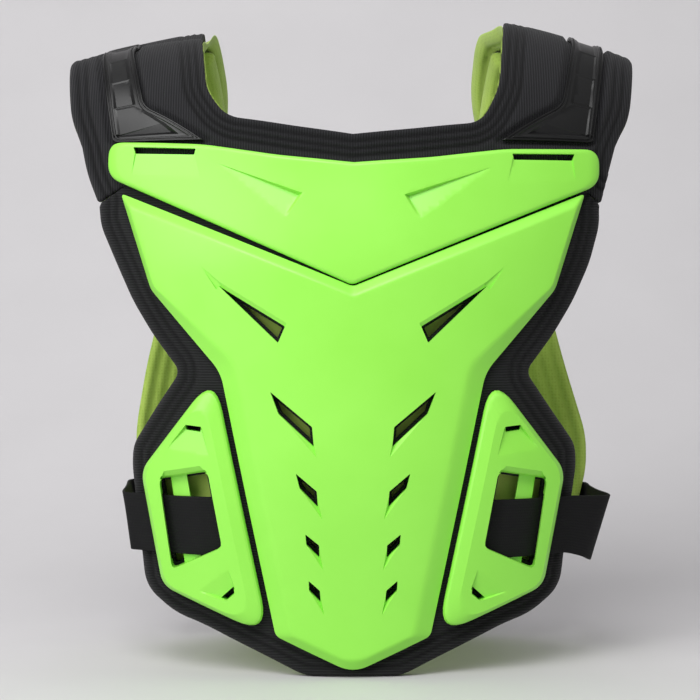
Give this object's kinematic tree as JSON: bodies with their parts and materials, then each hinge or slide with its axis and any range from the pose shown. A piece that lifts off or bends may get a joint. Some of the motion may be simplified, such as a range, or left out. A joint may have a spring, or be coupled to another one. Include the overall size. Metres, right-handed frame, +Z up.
{
  "type": "body armor vest",
  "caption": "Standing chest and back protector vest: padded black panels with green mesh lining, moulded green plates with vents, black shoulder guards and elastic waist straps.",
  "frame": {"origin": "middle of the base, on the surface that the hem stands on", "axes": "+Z up from the hem to the shoulders, -Y out of the chest, +X to the wearer's left"},
  "size_m": [0.4272, 0.239, 0.4813],
  "materials": {
    "black_knit": "fine ribbed black knit over foam",
    "green_mesh": "yellow-green quilted mesh lining",
    "green_plate": "satin bright green injection-moulded plastic",
    "black_moulding": "satin black moulded plastic",
    "black_webbing": "woven black elastic webbing"
  },
  "bodies": {
    "root": {"front_pad": "black_knit", "front_lining": "green_mesh", "upper_pad": "black_knit", "upper_lining": "green_mesh", "back_pad": "black_knit", "back_lining": "green_mesh", "chest_yoke": "green_plate", "chest_plate": "green_plate", "side_frame_left": "green_plate", "side_frame_right": "green_plate", "shoulder_guard_left": "black_moulding", "shoulder_guard_right": "black_moulding", "waist_strap_left": "black_webbing", "waist_strap_right": "black_webbing"}
  },
  "joints": []
}
